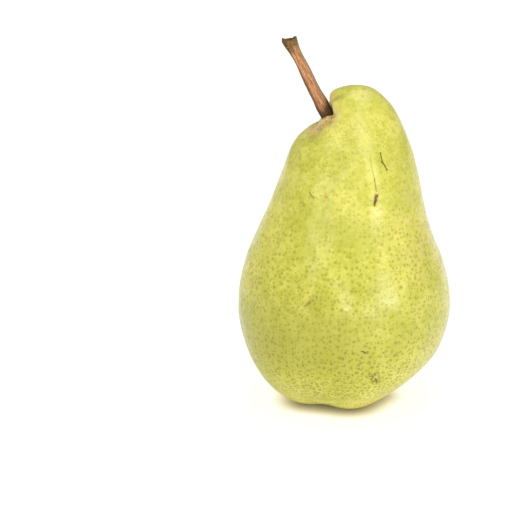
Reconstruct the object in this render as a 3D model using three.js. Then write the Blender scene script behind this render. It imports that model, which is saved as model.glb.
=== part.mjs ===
// A whole fresh pear, standing on its blossom end: the fruit, its woody stem, and the dried
// flower that stays in the hollow underneath, as five sepals round a tuft of stamens.
//
// Millimetres, +Z up, +X to the right as seen from the front. The origin is on the surface that
// the pear rests on, at the middle of the fruit's own outline.

import * as THREE from "three";
import { mergeVertices } from "three/addons/utils/BufferGeometryUtils.js";

// ---- Driving dimensions ---------------------------------------------------------------------

const SEGMENTS = 44; // round the fruit
const RINGS_PER_STATION = 2; // down the fruit, from one station to the next

// The fruit's skin is drawn by three outlines that run together, station by station, from the
// stem down to the flower: the left and right edges as [x, z], and the front edge as
// [distance forward, z]. The back is as deep as the front.
const STATIONS = [
  { name: "stem pit", left: [-5.8, 91.9], right: [-5.8, 91.9], front: [0, 91.9] },
  { name: "pit edge", left: [-8.0, 91.2], right: [-3.9, 93.0], front: [2.1, 92.0] },
  { name: "rim", left: [-9.5, 91.2], right: [-4.7, 97.4], front: [4.0, 91.9] },
  { name: "crown", left: [-13.6, 88.2], right: [-3.8, 101.4], front: [8.2, 89.5] },
  { name: "crest", left: [-15.8, 85.8], right: [1.5, 103.4], front: [11.6, 87.8] },
  { name: "head", left: [-17.8, 82.2], right: [9.2, 102.0], front: [14.6, 85.4] },
  { name: "brow", left: [-20.2, 75.0], right: [16.3, 94.2], front: [18.8, 80.4] },
  { name: "neck", left: [-23.8, 65.4], right: [21.5, 80.4], front: [22.2, 71.4] },
  { name: "waist", left: [-28.6, 54.8], right: [26.3, 61.6], front: [26.4, 58.6] },
  { name: "shoulder", left: [-32.6, 43.4], right: [31.8, 47.0], front: [31.4, 45.4] },
  { name: "belly", left: [-34.1, 30.6], right: [34.7, 31.8], front: [33.8, 31.2] },
  { name: "lower belly", left: [-31.0, 15.4], right: [30.9, 17.2], front: [30.4, 16.4] },
  { name: "base", left: [-22.8, 3.8], right: [19.2, 4.8], front: [20.6, 4.2] },
  { name: "foot", left: [-13.2, -0.5], right: [10.4, -0.5], front: [11.8, -0.5] },
  { name: "foot, inside", left: [-9.0, -0.4], right: [5.8, -0.4], front: [7.2, -0.4] },
  { name: "hollow", left: [-7.3, 2.6], right: [3.9, 2.6], front: [5.5, 2.6] },
  { name: "hollow floor", left: [-5.7, 4.7], right: [2.3, 4.7], front: [3.9, 4.7] },
  { name: "flower end", left: [-1.7, 5.1], right: [-1.7, 5.1], front: [0, 5.1] },
];
const STEM_PIT = new THREE.Vector3(-5.8, 0, 91.9);
const FLOWER_END = new THREE.Vector3(-1.7, 0, 5.1);

// Five soft lobes round the flower end: the valleys between them stand clear of the surface.
const LOBES = 5;
const LOBE_AZIMUTH = -73; // degrees from +X, of the lobe at the front right
const LOBE_SWELL = 0.6; // how far a lobe stands out
const VALLEY_RISE = 1.5; // how far a valley lifts off the surface
const LOBE_FADE = 15; // height over which the lobes die away

// Soft swells (rise above 0) and dents (rise below 0): azimuth in degrees from +X, -90 being the
// front, the height of the middle, its spread round and up the fruit, and how far it rises.
const SWELLS = [
  { azimuth: -66, height: 82, across: 6, along: 15, rise: 1.0 },
  { azimuth: -34, height: 84, across: 6.5, along: 12, rise: -0.8 },
  { azimuth: -112, height: 74, across: 8, along: 9, rise: 0.5 },
  { azimuth: 0, height: 79, across: 9, along: 5, rise: 0.5 },
  { azimuth: 5, height: 56, across: 12, along: 7, rise: -0.6 },
  { azimuth: -60, height: 42, across: 7, along: 7, rise: 0.8 },
  { azimuth: -74, height: 41, across: 3.5, along: 7, rise: -0.4 },
  { azimuth: -106, height: 50, across: 9, along: 7, rise: 0.6 },
  { azimuth: -122, height: 34, across: 6, along: 10, rise: -0.6 },
  { azimuth: -30, height: 22, across: 9, along: 8, rise: -0.5 },
  { azimuth: -44, height: 2, across: 5, along: 5, rise: 1.3 },
  { azimuth: 48, height: 68, across: 8, along: 14, rise: 0.9 },
  { azimuth: 85, height: 60, across: 7, along: 12, rise: -0.8 },
  { azimuth: 120, height: 80, across: 8, along: 12, rise: 0.8 },
  { azimuth: 155, height: 52, across: 9, along: 9, rise: -0.6 },
  { azimuth: 70, height: 34, across: 10, along: 9, rise: 0.7 },
  { azimuth: 128, height: 36, across: 8, along: 10, rise: 0.5 },
  { azimuth: 195, height: 44, across: 8, along: 8, rise: 0.6 },
];

// The stem: points along its middle, from the pit to the tip, and its radius at shares of its
// length. It is thickest where it grips the fruit and where it broke from the spur.
const STEM_LINE = [
  [-5.5, 0, 92.6],
  [-7.4, 0.1, 96.8],
  [-10.2, 0.3, 101.8],
  [-13.0, 0.5, 107.8],
  [-15.9, 0.7, 113.2],
  [-18.4, 0.8, 118.0],
];
const STEM_RADII = [
  [0, 1.6],
  [0.12, 1.85],
  [0.25, 1.9],
  [0.5, 1.8],
  [0.72, 1.7],
  [0.87, 2],
  [1, 2.55],
];
const STEM_SIDES = 16;
const STEM_STEPS = 18;
const STEM_TIP_SLANT = -0.4; // the broken end is longer on its left by this share of its radius
const STEM_TIP_CUP = 0.9; // depth of the cup in the broken end

// The dried flower in the hollow.
const GAP = 0.3; // left between pieces that touch
const SEPALS = 5;
const SEPAL_ROOT = 1.7; // from the flower's middle to a sepal's root
const SEPAL_LENGTH = 4.2;
const SEPAL_WIDTH = 2.0; // at its widest, a third of the way out
const SEPAL_TIP_WIDTH = 0.35;
const SEPAL_THICKNESS = 0.45;
const SEPAL_DROP = 2.6; // how far the tip hangs below the root
const TUFT_TOP_RADIUS = 1.25;
const TUFT_TIP_RADIUS = 0.7;
const TUFT_LENGTH = 2.2;

const COLOURS = {
  skin: { color: 0xd6d468, roughness: 0.45, metalness: 0 },
  stem: { color: 0xa4714a, roughness: 0.75, metalness: 0 },
  sepal: { color: 0x5a4430, roughness: 0.85, metalness: 0 },
  stamens: { color: 0x3d2c1f, roughness: 0.9, metalness: 0 },
};

// ---- Helpers --------------------------------------------------------------------------------

const radians = THREE.MathUtils.degToRad;
const lerp = THREE.MathUtils.lerp;

/** Joins a geometry's split vertices, so that it is one closed surface. */
function closed(geometry) {
  geometry.deleteAttribute("normal");
  geometry.deleteAttribute("uv");
  const merged = mergeVertices(geometry, 1e-4);
  merged.computeVertexNormals();
  return merged;
}

/** Moves every vertex of a geometry to where place(point, u, v) puts it. */
function reshape(geometry, place) {
  const positions = geometry.getAttribute("position");
  const uvs = geometry.getAttribute("uv");
  const point = new THREE.Vector3();
  for (let i = 0; i < positions.count; i++) {
    point.fromBufferAttribute(positions, i);
    const moved = place(point, uvs.getX(i), uvs.getY(i));
    positions.setXYZ(i, moved.x, moved.y, moved.z);
  }
  return geometry;
}

/** The value at share t of a table of [share, value] rows, on a smooth curve. */
function along(rows, t) {
  const last = rows.length - 1;
  const i = Math.max(1, Math.min(last, rows.findIndex(([share]) => share >= t)));
  const [from, a] = rows[i - 1];
  const [to, b] = rows[i];
  return lerp(a, b, THREE.MathUtils.smoothstep(t, from, to));
}

/** A named mesh with one of the pear's finishes. */
function piece(name, geometry, finish) {
  const mesh = new THREE.Mesh(geometry, new THREE.MeshStandardMaterial(finish));
  mesh.name = name;
  return mesh;
}

// ---- The fruit ------------------------------------------------------------------------------

/** A smooth curve through one outline's [a, z] points. */
function outline(side) {
  const points = STATIONS.map((station) => new THREE.Vector3(station[side][0], 0, station[side][1]));
  return new THREE.CatmullRomCurve3(points, false, "centripetal");
}

const OUTLINES = { left: outline("left"), right: outline("right"), front: outline("front") };

/** The smooth skin, before lobes and swells: a ring through the three outlines at share t. */
function ringPoint(angle, t) {
  const left = OUTLINES.left.getPoint(t);
  const right = OUTLINES.right.getPoint(t);
  const front = OUTLINES.front.getPoint(t);
  const middle = (left.z + right.z) / 2;
  const x = (left.x + right.x) / 2 + ((right.x - left.x) / 2) * Math.cos(angle);
  const y = front.x * Math.sin(angle);
  // The height goes through right.z, front.z, left.z and front.z again at the four quarters.
  const z =
    (middle + front.z) / 2 +
    ((right.z - left.z) / 2) * Math.cos(angle) +
    ((middle - front.z) / 2) * Math.cos(2 * angle);
  return new THREE.Vector3(x, y, z);
}

/** Pushes a skin point in or out by the lobes and swells, and flattens it where it rests. */
function shapedPoint(angle, t) {
  const point = ringPoint(angle, t);
  const outward = new THREE.Vector3(Math.cos(angle), Math.sin(angle), 0);
  const reach = Math.hypot(point.x - FLOWER_END.x, point.y);

  // 1 on a lobe's crest and 0 in a valley; the flower end itself is left alone.
  const crest = (1 + Math.cos(LOBES * (angle - radians(LOBE_AZIMUTH)))) / 2;
  const low = Math.exp(-((Math.max(point.z, 0) / LOBE_FADE) ** 2));
  const outside = THREE.MathUtils.smoothstep(reach, 3, 9);
  point.addScaledVector(outward, LOBE_SWELL * (2 * crest - 1) * low * outside);
  point.z += VALLEY_RISE * (1 - crest) * low * outside * Math.exp(-Math.max(point.z, 0) / 6);

  const girth = Math.hypot(point.x, point.y);
  for (const { azimuth, height, across, along: tall, rise } of SWELLS) {
    const turn = Math.atan2(Math.sin(angle - radians(azimuth)), Math.cos(angle - radians(azimuth)));
    const round = (turn * girth) / across;
    const up = (point.z - height) / tall;
    point.addScaledVector(outward, rise * Math.exp(-(round * round + up * up)));
  }
  point.z = Math.max(point.z, 0);
  return point;
}

/** The fruit: a sphere's grid, carried onto the shaped skin. */
function fruit() {
  const rings = (STATIONS.length - 1) * RINGS_PER_STATION;
  const grid = new THREE.SphereGeometry(1, SEGMENTS, rings);
  const skin = reshape(grid, (_, u, v) => {
    const t = 1 - v;
    if (t < 1e-6) return STEM_PIT;
    if (t > 1 - 1e-6) return FLOWER_END;
    return shapedPoint(Math.PI + (u % 1) * 2 * Math.PI, t);
  });
  return piece("pear_body", closed(skin), COLOURS.skin);
}

// ---- The stem -------------------------------------------------------------------------------

/** The stem: a turned profile, bent onto its middle line, with a slanted, cupped tip. */
function stem() {
  const line = new THREE.CatmullRomCurve3(STEM_LINE.map((p) => new THREE.Vector3(...p)));
  const wall = Array.from({ length: STEM_STEPS + 1 }, (_, i) => {
    const share = i / STEM_STEPS;
    return new THREE.Vector2(along(STEM_RADII, share), share);
  });
  const tipRadius = along(STEM_RADII, 1);
  const cup = STEM_TIP_CUP / line.getLength();
  const profile = [
    new THREE.Vector2(0, 0),
    ...wall,
    new THREE.Vector2(tipRadius * 0.55, 1 - cup * 0.7),
    new THREE.Vector2(0, 1 - cup),
  ];
  const turned = new THREE.LatheGeometry(profile, STEM_SIDES);
  const bent = reshape(turned, (point) => {
    const middle = line.getPointAt(Math.min(Math.max(point.y, 0), 1));
    const forward = line.getTangentAt(Math.min(Math.max(point.y, 0), 1));
    const back = new THREE.Vector3(0, 1, 0);
    const side = new THREE.Vector3().crossVectors(back, forward).normalize();
    back.crossVectors(forward, side);
    const slant = THREE.MathUtils.smoothstep(point.y, 0.8, 1) * STEM_TIP_SLANT * point.x;
    return middle
      .addScaledVector(side, point.x)
      .addScaledVector(back, -point.z)
      .addScaledVector(forward, slant);
  });
  return piece("stem", closed(bent), COLOURS.stem);
}

// ---- The dried flower -----------------------------------------------------------------------

/** One sepal: a thin, pointed leaf that curves out and down from its root. */
function sepal(number) {
  const grid = new THREE.BoxGeometry(1, 1, 1, 6, 4, 1);
  const leaf = reshape(grid, (point) => {
    const out = point.x + 0.5;
    const across = point.y;
    const widening = Math.sin(Math.PI * Math.sqrt(out) * 0.82 + 0.5);
    const width = lerp(SEPAL_TIP_WIDTH, SEPAL_WIDTH, Math.max(widening, 0)) * (1 - 0.6 * out * out);
    const thickness = SEPAL_THICKNESS * (1 - 0.35 * out);
    const curl = 0.5 * (2 * across) ** 2 * out;
    return new THREE.Vector3(
      SEPAL_ROOT + SEPAL_LENGTH * out * (1 - 0.08 * out),
      across * width,
      -SEPAL_DROP * out ** 1.4 - curl + (point.z - 0.5) * thickness,
    );
  });
  const mesh = piece(`sepal_${number}`, closed(leaf), COLOURS.sepal);
  mesh.rotation.z = radians(LOBE_AZIMUTH + (360 / SEPALS) * (number - 0.5));
  mesh.position.z = -GAP;
  return mesh;
}

/** The withered stamens and styles, dried into one short tuft in the flower's middle. */
function driedStamens() {
  const profile = [
    new THREE.Vector2(0, -GAP - TUFT_LENGTH),
    new THREE.Vector2(TUFT_TIP_RADIUS, -GAP - TUFT_LENGTH),
    new THREE.Vector2((TUFT_TIP_RADIUS + TUFT_TOP_RADIUS) * 0.45, -GAP - TUFT_LENGTH * 0.55),
    new THREE.Vector2(TUFT_TOP_RADIUS, -GAP),
    new THREE.Vector2(0, -GAP),
  ];
  const turned = new THREE.LatheGeometry(profile, 12).rotateX(Math.PI / 2);
  return piece("dried_stamens", closed(turned), COLOURS.stamens);
}

/** The dried flower: a tuft in the middle of a ring of sepals, hung from the hollow's floor. */
function driedFlower() {
  const flower = new THREE.Group();
  flower.position.copy(FLOWER_END);
  for (let number = 1; number <= SEPALS; number++) flower.add(sepal(number));
  flower.add(driedStamens());
  return flower;
}

// ---- The pear -------------------------------------------------------------------------------

const pear = new THREE.Group();
pear.add(fruit(), stem(), driedFlower());

export default pear;
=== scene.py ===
"""The looks of a whole fresh pear: its freckled skin, its woody stem and its dried flower.

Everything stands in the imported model's own frame, in metres: +Z up, the origin on the table
under the middle of the fruit, -Y to the front and +X to the side that the head rises on.
Sizes in the classes are in millimetres, because a pear is measured in them.
"""

import logging
import math
from dataclasses import dataclass, field, replace
from enum import Enum
from functools import cached_property
from typing import Sequence, Union

import bmesh
import bpy
import numpy as np
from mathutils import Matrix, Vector, noise


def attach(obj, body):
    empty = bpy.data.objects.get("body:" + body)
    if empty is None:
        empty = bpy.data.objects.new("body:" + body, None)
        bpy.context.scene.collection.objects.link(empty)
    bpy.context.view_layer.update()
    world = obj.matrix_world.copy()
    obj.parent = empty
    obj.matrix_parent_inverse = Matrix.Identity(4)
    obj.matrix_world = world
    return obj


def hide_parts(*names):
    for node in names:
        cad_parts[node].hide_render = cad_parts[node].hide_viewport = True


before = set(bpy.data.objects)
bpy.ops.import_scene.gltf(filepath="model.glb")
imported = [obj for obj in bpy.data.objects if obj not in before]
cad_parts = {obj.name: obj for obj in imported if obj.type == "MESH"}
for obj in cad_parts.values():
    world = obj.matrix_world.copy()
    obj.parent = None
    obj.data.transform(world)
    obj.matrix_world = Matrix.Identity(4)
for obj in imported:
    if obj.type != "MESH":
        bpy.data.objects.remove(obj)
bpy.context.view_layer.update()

MM = 0.001
GOLDEN_ANGLE = 2.39996  # radians; it spreads points evenly round a middle
ROOT = "root"

log = logging.getLogger("pear")

Colour = tuple[float, float, float, float]
Point = tuple[float, float, float]
Pairs = tuple[tuple[float, float], ...]
Lengths = float | np.ndarray
Value = Union[float, Sequence[float], "Wire"]
Sockets = dict[int | str, Value]


# ---- Numbers and colours ----


def srgb(red: float, green: float, blue: float) -> Colour:
    """Turns a screen colour, of parts from 0 to 255, into the linear one that a shader takes."""
    parts = [part / 255 for part in (red, green, blue)]
    return (*(p / 12.92 if p <= 0.04045 else ((p + 0.055) / 1.055) ** 2.4 for p in parts), 1.0)


def smoothstep(values: np.ndarray, low: float, high: float) -> np.ndarray:
    """Eases from 0 where a value is low to 1 where it is high; low may be above high."""
    share = np.clip((values - low) / (high - low), 0, 1)
    return share * share * (3 - 2 * share)


def polar(radius: Lengths, angle: np.ndarray, height: Lengths) -> np.ndarray:
    """Points round an upright axis, from their radius, their angle and their height."""
    flat = radius * np.cos(angle), radius * np.sin(angle)
    return np.stack(np.broadcast_arrays(*flat, height), -1)


def hill(distance: np.ndarray, width: float) -> np.ndarray:
    """A soft bump of height 1 at distance 0 that has died away at about twice its width."""
    return np.exp(-((distance / width) ** 2))


def unit(vectors: np.ndarray) -> np.ndarray:
    """Vectors scaled to a length of 1, one a row."""
    return vectors / np.linalg.norm(vectors, axis=1)[:, None]


def grain(points: np.ndarray, size: float, seed: float = 0.0, octaves: int = 1) -> np.ndarray:
    """Smooth natural unevenness over points.

    Args:
        points: The points, one a row, in millimetres.
        size: How wide one swell is, in millimetres.
        seed: Shifts the pattern.
        octaves: How many finer layers are added.

    Returns:
        One value for each point, about -1 to 1.
    """
    shift = Vector((seed * 17.3, seed * -9.1, seed * 5.7))
    total = np.zeros(len(points))
    for octave in range(octaves):
        finer = 2**octave / size
        total += np.array([noise.noise(Vector(p) * finer + shift) for p in points]) / 2**octave
    return total


def distance_to_path(points: np.ndarray, path: Sequence[Point]) -> tuple[np.ndarray, np.ndarray]:
    """Measures points from a line of straight runs.

    Args:
        points: The points, one a row.
        path: The line's corners.

    Returns:
        Each point's distance to the line, and how far along it that is, from 0 to 1.
    """
    corners = np.array(path, float)
    steps = np.linalg.norm(np.diff(corners, axis=0), axis=1)
    starts = np.concatenate([[0], np.cumsum(steps)])
    best = np.full(len(points), np.inf)
    share = np.zeros(len(points))
    for i, step in enumerate(steps):
        run = corners[i + 1] - corners[i]
        t = np.clip(((points - corners[i]) @ run) / step**2, 0, 1)
        away = np.linalg.norm(points - corners[i] - t[:, None] * run, axis=1)
        nearer = away < best
        best = np.where(nearer, away, best)
        share = np.where(nearer, (starts[i] + t * step) / starts[-1], share)
    return best, share


# ---- Shaders ----


class Wire:
    """A value in a shader; arithmetic on it adds Math nodes."""

    def __init__(self, shader: "Shader", socket: bpy.types.NodeSocket) -> None:
        """Wraps an output socket of a shader."""
        self.shader = shader
        self.socket = socket

    def __add__(self, other: Value) -> "Wire":
        """Adds."""
        return self.shader.maths("ADD", self, other)

    def __sub__(self, other: Value) -> "Wire":
        """Subtracts."""
        return self.shader.maths("SUBTRACT", self, other)

    def __rsub__(self, other: Value) -> "Wire":
        """Subtracts from a number."""
        return self.shader.maths("SUBTRACT", other, self)

    def __mul__(self, other: Value) -> "Wire":
        """Multiplies."""
        return self.shader.maths("MULTIPLY", self, other)

    def __truediv__(self, other: Value) -> "Wire":
        """Divides."""
        return self.shader.maths("DIVIDE", self, other)

    def __rtruediv__(self, other: Value) -> "Wire":
        """Divides a number."""
        return self.shader.maths("DIVIDE", other, self)

    def __lt__(self, other: Value) -> "Wire":
        """1 where this is less, and 0 elsewhere."""
        return self.shader.maths("LESS_THAN", self, other)

    def __gt__(self, other: Value) -> "Wire":
        """1 where this is more, and 0 elsewhere."""
        return self.shader.maths("GREATER_THAN", self, other)

    def __or__(self, other: Value) -> "Wire":
        """The larger of the two."""
        return self.shader.maths("MAXIMUM", self, other)

    __radd__ = __add__
    __rmul__ = __mul__
    __ror__ = __or__


class Shader:
    """A material's node tree, built from Python expressions; its lengths are in millimetres."""

    def __init__(self, name: str) -> None:
        """Starts an empty material of this name."""
        self.material = bpy.data.materials.new(name)
        self.material.use_nodes = True
        self.tree = self.material.node_tree
        self.tree.nodes.clear()

    def node(
        self,
        kind: str,
        settings: dict[str, object] | None = None,
        sockets: Sockets | None = None,
        output: int | str = 0,
    ) -> Wire:
        """Adds a node.

        Args:
            kind: The node's Blender type.
            settings: Its own settings; stops are a colour ramp's (place, colour) pairs.
            sockets: Values or wires for its inputs, by name or number.
            output: Which output to return.

        Returns:
            The output, as a wire.
        """
        made = self.tree.nodes.new(kind)
        for name, value in (settings or {}).items():
            if name == "stops":
                self._set_stops(made.color_ramp, value)
            else:
                setattr(made, name, value)
        for key, value in (sockets or {}).items():
            if isinstance(value, Wire):
                self.tree.links.new(value.socket, made.inputs[key])
            else:
                made.inputs[key].default_value = value
        return Wire(self, made.outputs[output])

    @staticmethod
    def _set_stops(ramp: bpy.types.ColorRamp, stops: Sequence[tuple[float, Colour]]) -> None:
        """Gives a colour ramp its stops.

        Args:
            ramp: The colour ramp.
            stops: Each stop's place, from 0 to 1, and its colour.
        """
        while len(ramp.elements) < len(stops):
            ramp.elements.new(0.5)
        for element, (place, colour) in zip(ramp.elements, stops):
            element.position = place
            element.color = colour

    @cached_property
    def at(self) -> Wire:
        """The point being shaded."""
        return self.scaled(self.node("ShaderNodeTexCoord", output="Object"), 1 / MM)

    @cached_property
    def height(self) -> Wire:
        """How high that point is."""
        return self.part(self.at, "Z")

    def maths(self, operation: str, first: Value, second: Value = 0.0) -> Wire:
        """Adds a Math node of this operation."""
        return self.node("ShaderNodeMath", {"operation": operation}, {0: first, 1: second})

    def vector(self, operation: str, first: Value, second: Value, output: int | str = 0) -> Wire:
        """Adds a Vector Math node of this operation."""
        sockets = {0: first, 1: second}
        return self.node("ShaderNodeVectorMath", {"operation": operation}, sockets, output)

    def distance(self, first: Value, second: Value = (0, 0, 0)) -> Wire:
        """How far apart two points are."""
        return self.vector("DISTANCE", first, second, "Value")

    def dot(self, first: Value, second: Value) -> Wire:
        """The dot product of two vectors."""
        return self.vector("DOT_PRODUCT", first, second, "Value")

    def scaled(self, first: Value, share: Value) -> Wire:
        """A vector times a number."""
        sockets = {0: first, "Scale": share}
        return self.node("ShaderNodeVectorMath", {"operation": "SCALE"}, sockets)

    def joined(self, x: Value, y: Value, z: Value = 0.0) -> Wire:
        """A vector of three numbers."""
        return self.node("ShaderNodeCombineXYZ", sockets={0: x, 1: y, 2: z})

    def part(self, vector: Wire, axis: str) -> Wire:
        """One of a vector's X, Y and Z."""
        return self.node("ShaderNodeSeparateXYZ", sockets={0: vector}, output=axis)

    def ease(self, value: Value, low: Value, high: Value) -> Wire:
        """Eases from 0 where the value is low to 1 where it is high; low may be above high."""
        sockets = {"Value": value, "From Min": low, "From Max": high}
        return self.node("ShaderNodeMapRange", {"interpolation_type": "SMOOTHSTEP"}, sockets)

    def below(self, none: float, full: float) -> Wire:
        """Eases from 0 at one height to 1 at a lower one."""
        return self.ease(self.height, none, full)

    def noise(
        self, size: float, detail: float = 2.0, rough: float = 0.5, at: Wire | None = None
    ) -> Wire:
        """Adds smooth noise.

        Args:
            size: About how wide its swells are.
            detail: How many finer layers it has.
            rough: How strong the finer layers are.
            at: Where it is read, if not at the point being shaded.

        Returns:
            The noise, from 0 to 1.
        """
        sockets = {"Vector": at or self.at, "Scale": 1 / size, "Detail": detail, "Roughness": rough}
        return self.node("ShaderNodeTexNoise", sockets=sockets)

    def mix(self, factor: Value, base: Value, over: Value) -> Wire:
        """Lays one colour over another, as much as the factor says."""
        return self.node("ShaderNodeMix", {"data_type": "RGBA"}, {0: factor, 6: base, 7: over}, 2)

    def layered(self, colour: Value, *layers: tuple[Wire, Colour]) -> Wire:
        """Lays colours over a base one, in order.

        Args:
            colour: The base colour.
            layers: How much of each colour shows, and the colour.

        Returns:
            The colour on top.
        """
        for share, over in layers:
            colour = self.mix(share, colour, over)
        return colour

    def bump(self, height: Value, depth: float) -> Wire:
        """A normal from a height of 0 to 1, where 1 is this deep."""
        return self.node("ShaderNodeBump", sockets={"Height": height, "Distance": depth * MM})

    def finish(self, sockets: Sockets) -> bpy.types.Material:
        """Ends the material in a Principled surface.

        Args:
            sockets: Values or wires for the surface's inputs.

        Returns:
            The finished material.
        """
        surface = self.node("ShaderNodeBsdfPrincipled", sockets=sockets)
        end = self.tree.nodes.new("ShaderNodeOutputMaterial")
        self.tree.links.new(surface.socket, end.inputs["Surface"])
        return self.material


# ---- Finishes ----


@dataclass(frozen=True)
class Mark:
    """A scratch, scar or smudge on the skin, or a painted highlight or painted shade, along a line
    of points in millimetres.
    """

    path: tuple[Point, ...]
    width: float
    colour: Colour
    strength: float = 1.0
    depth: float = 0.0
    patchy: float = 0.0
    dull: float = 0.0


@dataclass(frozen=True)
class Dots:
    """How one kind of dot on the skin looks; the radius is in millimetres."""

    radius: float
    colour: Colour
    strength: float


@dataclass(frozen=True)
class Russeting:
    """Rough brown skin round one place: how near it starts and is full, and its dark core too."""

    middle: Point
    starts: float
    full: float
    core_starts: float
    core_full: float


@dataclass(frozen=True)
class SkinFinish:
    """The fruit's waxy skin: green-yellow, dotted, with russet round the stem."""

    girths: Pairs
    lime: Colour = srgb(190, 192, 52)
    butter: Colour = srgb(235, 226, 112)
    olive: Colour = srgb(168, 165, 46)
    # Pale tan: worn skin at the base, and painted rim light up the right side.
    blush_and_rim_light: Colour = srgb(228, 208, 132)
    russet: Colour = srgb(224, 190, 134)
    deep_russet: Colour = srgb(164, 108, 56)
    cells: float = 17.0
    fine_share: float = 1.7
    scatter: float = 0.9
    sole_cell: float = 1.2
    crown_cell: float = 2.3
    body_dots: Dots = Dots(0.58, srgb(140, 140, 8), 0.76)
    low_dots: Dots = Dots(0.34, srgb(116, 110, 14), 0.8)
    russets: tuple[Russeting, ...] = (
        Russeting((-6.1, -2.6, 92.8), 9.0, 4.0, 7.5, 2.6),
        Russeting((-1.7, 0.0, 5.0), 12.0, 7.5, 8.5, 5.5),
    )
    relief_depth: float = 0.3
    marks: tuple[Mark, ...] = ()

    def unrolled(self, shader: Shader, front: float) -> Wire:
        """Unrolls the skin, so that the dots keep an even distance all round the fruit.

        Args:
            shader: The shader.
            front: 1 to have the seam at the back, and -1 to have it at the front.

        Returns:
            The place on the unrolled skin, in cells.
        """
        across, deep = shader.part(shader.at, "X"), shader.part(shader.at, "Y")
        turn = shader.maths("ARCTAN2", across * front, deep * -front)
        low, high = self.girths[0][0], self.girths[-1][0]
        climbed = [0.0]
        for (a, wide_a), (b, wide_b) in zip(self.girths, self.girths[1:]):
            climbed.append(climbed[-1] + math.hypot(b - a, wide_b - wide_a) * 2 / (wide_a + wide_b))
        stops = []
        for (height, _), way in zip(self.girths, climbed):
            grey = way / climbed[-1]
            stops.append(((height - low) / (high - low), (grey, grey, grey, 1.0)))
        share = (shader.height - low) / (high - low)
        way = shader.part(shader.node("ShaderNodeValToRGB", {"stops": stops}, {0: share}), "X")
        return shader.joined(turn * self.cells, way * (climbed[-1] * self.cells))

    def dots(self, place: Wire, cell: Value, radius: float, share: Value) -> Wire:
        """Scatters round dots over a flat map of the skin.

        Args:
            place: The place on the map, in cells.
            cell: How wide a cell is on the fruit, in millimetres.
            radius: A middling dot's radius, in millimetres.
            share: How many of the cells hold a dot, from 0 to 1.

        Returns:
            Up to 1 in a dot and 0 between dots.
        """
        shader = place.shader
        sockets = {"Vector": place, "Scale": 1.0, "Randomness": self.scatter}
        spread = shader.node("ShaderNodeTexVoronoi", {"voronoi_dimensions": "2D"}, sockets)
        owner = Wire(shader, spread.socket.node.outputs["Color"])
        chance, size, force = (shader.part(owner, axis) for axis in "XYZ")
        edge = radius * (0.6 + 0.75 * size)
        inside = shader.ease(spread * cell, edge * 1.25, 0.0)
        return inside * (chance < share) * (0.6 + 0.4 * force)

    def stroke(self, shader: Shader, mark: Mark, uneven: Wire) -> Wire:
        """The place of one mark.

        Args:
            shader: The shader.
            mark: The mark.
            uneven: What makes the mark wider and thinner along its way, from -0.5 to 0.5.

        Returns:
            The mark's strength on its line, and 0 from its width outward.
        """
        nearest: Wire | None = None
        for start, end in zip(mark.path, mark.path[1:]):
            run = Vector(end) - Vector(start)
            off = shader.vector("SUBTRACT", shader.at, start)
            share = shader.dot(off, tuple(run / run.length_squared))
            held = shader.maths("MINIMUM", share | 0.0, 1.0)
            away = shader.distance(off, shader.scaled(tuple(run), held))
            nearest = away if nearest is None else shader.maths("MINIMUM", nearest, away)
        nearest = nearest + uneven * (1.3 * mark.width)
        here = shader.ease(nearest, mark.width, mark.width * 0.3) * mark.strength
        if mark.patchy:
            broken = shader.ease(shader.noise(0.8, 3.0, 0.7), 0.46, 0.56)
            here = here * (1 - mark.patchy * (1 - broken))
        return here

    def ground(self, shader: Shader) -> Wire:
        """The skin's colour between its dots: ripe and green in patches, streaks and flecks, less
        olive where light is painted on the bottom and the lower right, and pale tan where rim light
        is painted up the right side.

        Args:
            shader: The shader.

        Returns:
            The colour.
        """
        across, deep = shader.part(shader.at, "X"), shader.part(shader.at, "Y")
        patches = shader.noise(19.0, 3.0, 0.6)
        clouds = shader.noise(6.0, 3.0, 0.65)
        flecks = shader.noise(1.5, 3.0, 0.7)
        ripe = patches * 0.42 + clouds * 0.38 + flecks * 0.2
        # More olive lower down; painted light, as if bounced up from the table, keeps the very
        # bottom less olive.
        low = shader.ease(shader.height + 14.0 * clouds, 60.0, 34.0)
        low = low * (1 - 0.55 * shader.below(24.0, 8.0))
        # Painted light: the lower right side, where the light falls, is less olive.
        painted_lit_side = shader.ease(across, -4.0, 18.0)
        grit = shader.ease(shader.noise(0.6, 2.0, 0.6), 0.6, 0.35)
        # Painted rim light: pale tan up the right side of the neck and head, fading out over the
        # belly.
        right = shader.ease(across - 0.3 * deep, 15.0, 30.0)
        right = right * (1 - 0.85 * shader.below(54.0, 42.0))
        pale = shader.noise(4.0, 3.0, 0.6)
        worn = shader.below(12.0, 3.0) * shader.ease(pale, 0.45, 0.6)
        return shader.layered(
            self.lime,
            (shader.ease(ripe, 0.34, 0.68), self.butter),
            (low * (0.8 - 0.5 * painted_lit_side), self.olive),
            (grit * 0.2, self.olive),
            (right * shader.ease(pale, 0.35, 0.6) * 0.45, self.blush_and_rim_light),
            (worn * 0.5, self.blush_and_rim_light),
        )

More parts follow.
